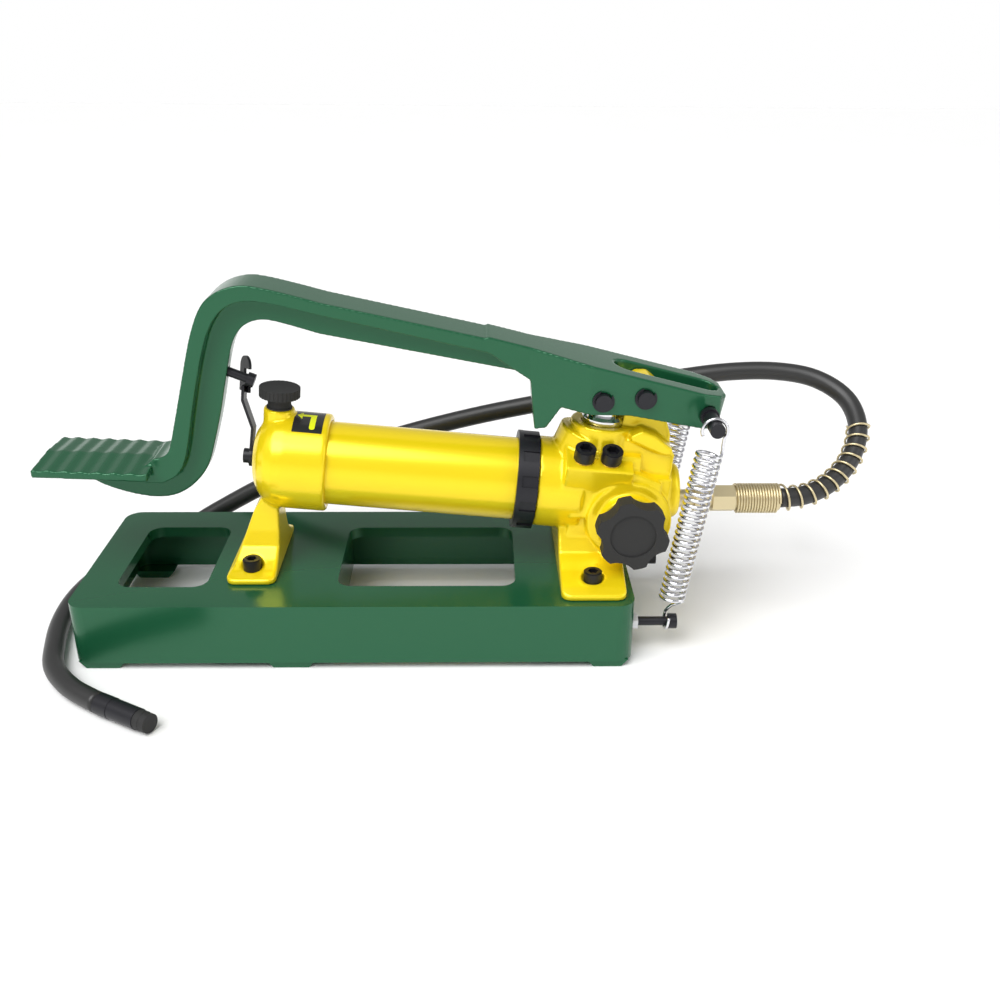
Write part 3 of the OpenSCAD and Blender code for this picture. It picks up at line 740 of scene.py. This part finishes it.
class FOOTPUMP_OT_springs(bpy.types.Operator):
    """Return springs and guard spring"""

    bl_idname = "footpump.springs"
    bl_label = "Springs"

    def execute(self, context):
        sizes = context.scene.foot_pump_sizes
        wire = sizes.spring_wire / 2
        r = sizes.spring_diameter / 2 / MM - wire / MM
        loop = [math.radians(t) for t in range(-30, 211, 20)]
        for node, side in (("return_spring_front", -1), ("return_spring_back", 1)):
            pin, anchor = (spot(x, side * y, z) for x, y, z in (SPRING_PIN, SPRING_ANCHOR))
            half_reach = (pin - anchor).length / MM / 2
            lean = math.atan2(pin.x - anchor.x, pin.z - anchor.z)
            place = (Matrix.Translation((pin + anchor) / 2) @ Matrix.Rotation(lean, 4, "Y")
                     @ Matrix.Scale(MM, 4))
            ring = [(0, RING_RADIUS * math.cos(a),
                     RING_LIFT - half_reach - RING_RADIUS * math.sin(a)) for a in reversed(loop)]
            join = [(3.2, 5.5, -COIL_HALF - 8), (r * 0.85, 3, -COIL_HALF - 3.5)]
            steps = sizes.spring_turns * COIL_STEPS
            coil = [(r * math.cos(a), r * math.sin(a), -COIL_HALF + 2 * COIL_HALF * i / steps)
                    for i, a in ((i, 2 * math.pi * i / COIL_STEPS) for i in range(steps + 1))]
            hook = [(r * 0.99, 0, COIL_HALF + 4)] + [
                (HOOK_RADIUS * math.cos(a), 0,
                 half_reach - HOOK_DROP + HOOK_RADIUS * math.sin(a)) for a in loop]
            line = [place @ p for p in smooth_line(ring + join + coil + hook, 2)]
            spring = add_mesh(node + "_wire", swept_tube(line, wire, 10),
                              finish("spring_wire"), "pump")
            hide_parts(node)
            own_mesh(spring)
        tight = wound_line([spot(*GUARD_START), spot(*GUARD_END)], lambda t: GUARD_RADIUS * MM,
                           GUARD_TIGHT_TURNS)
        guard = add_mesh("guard_spring_tight", swept_tube(tight, GUARD_TIGHT_WIRE / 2 * MM, 10),
                         finish("yellow_zinc"), "pump")
        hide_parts("guard_spring")
        return {"FINISHED"}


class FOOTPUMP_OT_fasteners(bpy.types.Operator):
    """Foot screws, nuts and spring anchors"""

    bl_idname = "footpump.fasteners"
    bl_label = "Fasteners"

    def execute(self, context):
        for node, material in (("foot_screws", "black_oxide"), ("foot_nuts", "zinc_steel"),
                               ("anchor_screws", "black_oxide"), ("anchor_nuts", "zinc_steel")):
            dress(node, material, 0.0005)
        return {"FINISHED"}


class FOOTPUMP_OT_stage(bpy.types.Operator):
    """Floor, camera and soft studio light"""

    bl_idname = "footpump.stage"
    bl_label = "Stage"

    def execute(self, context):
        scene = context.scene
        stage = scene.foot_pump_stage
        camera_data = bpy.data.cameras.new("camera")
        camera_data.lens = stage.lens
        camera_data.sensor_width = 36.0
        camera_data.clip_end = 50.0
        camera = bpy.data.objects.new("camera", camera_data)
        scene.collection.objects.link(camera)
        camera.location = spot(*CAMERA_PLACE)
        camera.rotation_euler = (
            Matrix.Rotation(math.radians(CAMERA_TURN), 3, "Z")
            @ Matrix.Rotation(math.radians(90 - CAMERA_DOWN), 3, "X")
            @ Matrix.Rotation(math.radians(CAMERA_ROLL), 3, "Z")).to_euler()
        scene.camera = camera
        scene.view_settings.view_transform = "Standard"

        bm = bmesh.new()
        bmesh.ops.create_grid(bm, x_segments=8, y_segments=8, size=FLOOR_SIZE)
        material, tree, shader = start_material("floor_sweep", 0.0, 0.6)
        coords = tree.nodes.new("ShaderNodeTexCoord").outputs["Object"]
        soft = noise(tree, 3.0, 2.0, 0.5, coords)
        pale = tuple(stage.floor_colour)
        faded = (pale[0] * 0.99, pale[1] * 0.99, pale[2] * 0.985, 1)
        tree.links.new(blend_colours(tree, soft.outputs["Fac"], pale, faded),
                       shader.inputs["Base Color"])
        mesh = bpy.data.meshes.new("floor")
        bm.to_mesh(mesh)
        bm.free()
        floor = bpy.data.objects.new("floor", mesh)
        scene.collection.objects.link(floor)
        mesh.materials.append(material)

        world = bpy.data.worlds.new("studio")
        scene.world = world
        world.use_nodes = True
        tree = world.node_tree
        background = tree.nodes["Background"]
        background.inputs["Color"].default_value = (1.0, 1.0, 1.0, 1)
        direction = tree.nodes.new("ShaderNodeTexCoord")
        parts = tree.nodes.new("ShaderNodeSeparateXYZ")
        tree.links.new(direction.outputs["Generated"], parts.inputs["Vector"])
        tree.links.new(
            remap(tree, parts.outputs["Z"], *HORIZON_BAND,
                  HORIZON_LIGHT * stage.light_strength, SKY_LIGHT * stage.light_strength),
            background.inputs["Strength"])

        sun = bpy.data.lights.new("softbox", "SUN")
        sun.energy = SUN_STRENGTH * stage.light_strength
        sun.angle = math.radians(SUN_SPREAD)
        softbox = bpy.data.objects.new("softbox", sun)
        scene.collection.objects.link(softbox)
        softbox.rotation_euler = Vector(SUN_FROM).to_track_quat("Z", "Y").to_euler()

        for name, place, target, size, power in AREA_LIGHTS:
            light = bpy.data.lights.new(name, "AREA")
            light.shape = "RECTANGLE"
            light.size, light.size_y = size
            light.energy = power * stage.light_strength
            lamp = bpy.data.objects.new(name, light)
            scene.collection.objects.link(lamp)
            lamp.location = place
            aim = Vector(target) - Vector(place)
            lamp.rotation_euler = aim.to_track_quat("-Z", "Y").to_euler()
        return {"FINISHED"}


class FOOTPUMP_PT_panel(bpy.types.Panel):
    """Sizes, colours and pieces of the foot pump"""

    bl_idname = "FOOTPUMP_PT_panel"
    bl_label = "Foot Pump"
    bl_space_type = "VIEW_3D"
    bl_region_type = "UI"
    bl_category = "Foot Pump"

    def draw(self, context):
        scene = context.scene
        for group in (scene.foot_pump_finishes, scene.foot_pump_sizes, scene.foot_pump_stage):
            box = self.layout.box()
            for key in group.__annotations__:
                box.prop(group, key)
        for operator in OPERATORS:
            self.layout.operator(operator.bl_idname)


SETTINGS = (
    ("foot_pump_finishes", FootPumpFinishes),
    ("foot_pump_sizes", FootPumpSizes),
    ("foot_pump_stage", FootPumpStage),
)
OPERATORS = (
    FOOTPUMP_OT_stage,
    FOOTPUMP_OT_hose,
    FOOTPUMP_OT_base,
    FOOTPUMP_OT_tank,
    FOOTPUMP_OT_head,
    FOOTPUMP_OT_valves,
    FOOTPUMP_OT_controls,
    FOOTPUMP_OT_outlet,
    FOOTPUMP_OT_label,
    FOOTPUMP_OT_lever,
    FOOTPUMP_OT_springs,
    FOOTPUMP_OT_fasteners,
)
CLASSES = tuple(c for _, c in SETTINGS) + OPERATORS + (FOOTPUMP_PT_panel,)


def register():
    """Add the classes and their settings to Blender."""
    for cls in CLASSES:
        bpy.utils.register_class(cls)
    for name, cls in SETTINGS:
        setattr(bpy.types.Scene, name, bpy.props.PointerProperty(type=cls))


def unregister():
    """Take the settings and the classes out again."""
    for name, _ in SETTINGS:
        delattr(bpy.types.Scene, name)
    for cls in reversed(CLASSES):
        bpy.utils.unregister_class(cls)


def main():
    """Build every piece."""
    register()
    bpy.ops.footpump.stage()
    bpy.ops.footpump.hose()
    bpy.ops.footpump.base()
    bpy.ops.footpump.tank()
    bpy.ops.footpump.head()
    bpy.ops.footpump.valves()
    bpy.ops.footpump.controls()
    bpy.ops.footpump.outlet()
    bpy.ops.footpump.label()
    bpy.ops.footpump.lever()
    bpy.ops.footpump.springs()
    bpy.ops.footpump.fasteners()


if __name__ == "__main__":
    main()
